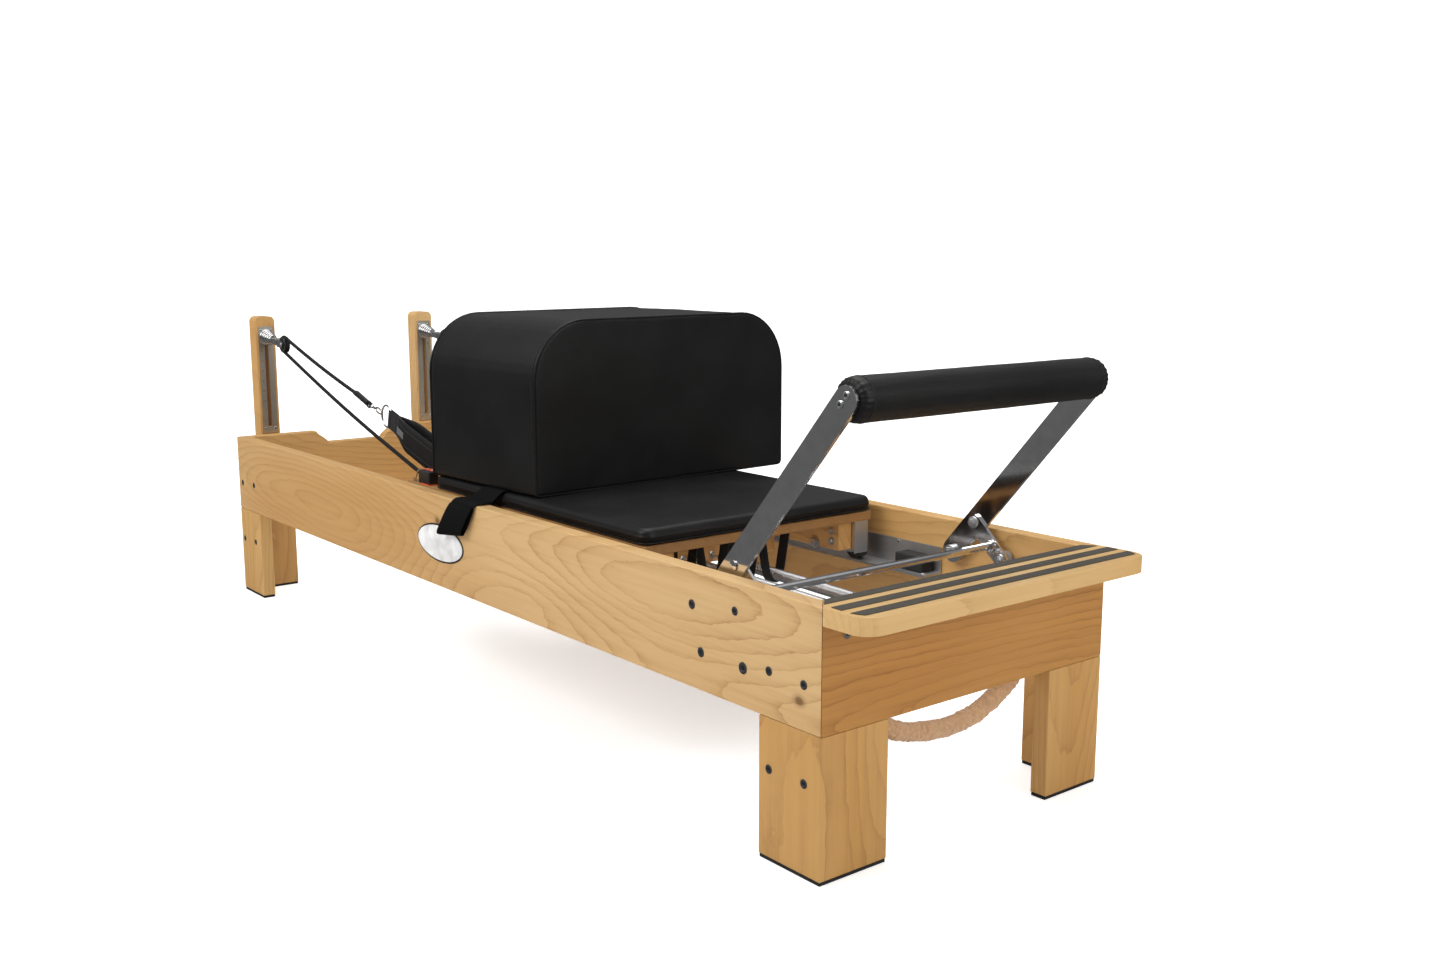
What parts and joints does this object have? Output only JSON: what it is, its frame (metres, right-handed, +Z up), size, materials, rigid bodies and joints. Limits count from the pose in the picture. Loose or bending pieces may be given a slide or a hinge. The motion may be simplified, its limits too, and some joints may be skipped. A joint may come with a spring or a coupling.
{
  "type": "pilates reformer",
  "caption": "Wooden pilates reformer: rolling padded carriage on springs, ropes over riser pulleys, folding foot bar, standing platform and a padded sitting box.",
  "frame": {"origin": "on the floor under the middle of the whole part's box", "axes": "+X toward the foot end (standing platform), +Y toward the user's right when lying with the head at -X, +Z up"},
  "size_m": [2.4941, 0.7358, 0.7906],
  "materials": {
    "maple": "satin lacquer over pale straight and cathedral grain",
    "maple_end": "satin lacquer, warmer than the rails",
    "birch_ply": "satin lacquer over plywood, laminations on the edge",
    "black_vinyl": "fine-grained satin vinyl over foam",
    "black_rubber": "matt black rubber",
    "chrome": "polished",
    "zinc_steel": "zinc plated",
    "aluminium": "clear anodised extrusion",
    "black_webbing": "woven polypropylene webbing",
    "black_rope": "braided polyester rope",
    "fleece": "tan pile fleece over a webbing core",
    "black_nylon": "moulded nylon"
  },
  "bodies": {
    "frame": {"side_rail_left": "maple", "side_rail_right": "maple", "foot_end_board": "maple_end", "head_end_board": "maple_end", "leg_foot_left": "maple", "leg_foot_right": "maple", "leg_head_left": "maple", "leg_head_right": "maple", "foot_pad_foot_left": "black_rubber", "foot_pad_foot_right": "black_rubber", "foot_pad_head_left": "black_rubber", "foot_pad_head_right": "black_rubber", "standing_platform": "maple", "track_left": "aluminium", "track_right": "aluminium", "stop_foot_left": "black_rubber", "stop_foot_right": "black_rubber", "riser_left": "maple", "riser_right": "maple", "pulley_mount_left": "chrome", "pulley_mount_right": "chrome", "spring_bar": "zinc_steel", "foot_strap": "fleece", "footbar_hinge_left": "zinc_steel", "footbar_hinge_right": "zinc_steel", "brace_ledge_left": "zinc_steel", "brace_ledge_right": "zinc_steel"},
    "carriage": {"carriage_board": "birch_ply", "carriage_pad": "black_vinyl", "runner_left": "maple", "runner_right": "maple", "spring_anchor": "maple", "carriage_spring_1": "chrome", "carriage_spring_2": "chrome", "carriage_spring_3": "chrome", "carriage_spring_4": "chrome", "spring_sling": "black_webbing", "shoulder_rest_left": "black_vinyl", "shoulder_rest_right": "black_vinyl", "rope_clamp_left": "black_nylon", "rope_clamp_right": "black_nylon", "rope_left": "black_rope", "rope_right": "black_rope", "hand_strap_left": "black_webbing", "hand_strap_right": "black_webbing", "box_strap": "black_webbing"},
    "headrest": {"headrest": "black_vinyl"},
    "sitting_box": {"sitting_box": "black_vinyl"},
    "footbar": {"footbar_arm_left": "chrome", "footbar_arm_right": "chrome", "footbar_roll": "black_vinyl"},
    "brace": {"brace_frame": "chrome"},
    "wheel_foot_left": {"wheel_foot_left": "black_nylon"},
    "wheel_foot_right": {"wheel_foot_right": "black_nylon"},
    "wheel_head_left": {"wheel_head_left": "black_nylon"},
    "wheel_head_right": {"wheel_head_right": "black_nylon"},
    "pulley_wheel_left": {"pulley_wheel_left": "black_nylon"},
    "pulley_wheel_right": {"pulley_wheel_right": "black_nylon"},
    "riser_knob_left": {"riser_knob_left": "black_rubber"},
    "riser_knob_right": {"riser_knob_right": "black_rubber"}
  },
  "joints": [
    {"name": "carriage_slide", "type": "slide", "parent": "frame", "child": "carriage", "axis": [1, 0, 0], "range_m": [-0.55, 0.083], "deforming": ["carriage_spring_1", "carriage_spring_2", "carriage_spring_3", "carriage_spring_4", "rope_left", "rope_right"]},
    {"name": "wheel_foot_left_spin", "type": "hinge", "parent": "carriage", "child": "wheel_foot_left", "pos_m": [0.6175, -0.0215, 0.3413], "axis": [0, 1, 0], "continuous": true},
    {"name": "wheel_foot_right_spin", "type": "hinge", "parent": "carriage", "child": "wheel_foot_right", "pos_m": [0.6175, -0.0215, 0.3413], "axis": [0, 1, 0], "continuous": true},
    {"name": "wheel_head_left_spin", "type": "hinge", "parent": "carriage", "child": "wheel_head_left", "pos_m": [-0.2005, -0.0215, 0.3413], "axis": [0, 1, 0], "continuous": true},
    {"name": "wheel_head_right_spin", "type": "hinge", "parent": "carriage", "child": "wheel_head_right", "pos_m": [-0.2005, -0.0215, 0.3413], "axis": [0, 1, 0], "continuous": true},
    {"name": "pulley_left_spin", "type": "hinge", "parent": "frame", "child": "pulley_wheel_left", "pos_m": [-1.04423, -0.257, 0.67599], "axis": [0, 1, 0], "continuous": true},
    {"name": "pulley_right_spin", "type": "hinge", "parent": "frame", "child": "pulley_wheel_right", "pos_m": [-1.04423, 0.214, 0.67599], "axis": [0, 1, 0], "continuous": true},
    {"name": "knob_left_turn", "type": "hinge", "parent": "frame", "child": "riser_knob_left", "pos_m": [-1.2375, -0.257, 0.69523], "axis": [1, 0, 0], "continuous": true},
    {"name": "knob_right_turn", "type": "hinge", "parent": "frame", "child": "riser_knob_right", "pos_m": [-1.2375, 0.214, 0.69523], "axis": [1, 0, 0], "continuous": true},
    {"name": "footbar_swing", "type": "hinge", "parent": "frame", "child": "footbar", "pos_m": [0.8515, -0.0215, 0.371], "axis": [0, 1, 0], "range_deg": [-110, 0]},
    {"name": "brace_swing", "type": "hinge", "parent": "footbar", "child": "brace", "pos_m": [0.9055, -0.0215, 0.4335], "axis": [0, 1, 0], "range_deg": [-60, 0]},
    {"name": "headrest_tilt", "type": "hinge", "parent": "carriage", "child": "headrest", "pos_m": [-0.2655, -0.0215, 0.405], "axis": [0, 1, 0], "range_deg": [0, 35]},
    {"name": "box_lift", "type": "slide", "parent": "carriage", "child": "sitting_box", "axis": [0, 0, 1], "range_m": [0, 0.3]}
  ],
  "couplings": [
    {"joint": "wheel_foot_left_spin", "follows": "carriage_slide", "rad_per_m": 45.455},
    {"joint": "wheel_foot_right_spin", "follows": "carriage_slide", "rad_per_m": 45.455},
    {"joint": "wheel_head_left_spin", "follows": "carriage_slide", "rad_per_m": 45.455},
    {"joint": "wheel_head_right_spin", "follows": "carriage_slide", "rad_per_m": 45.455}
  ]
}
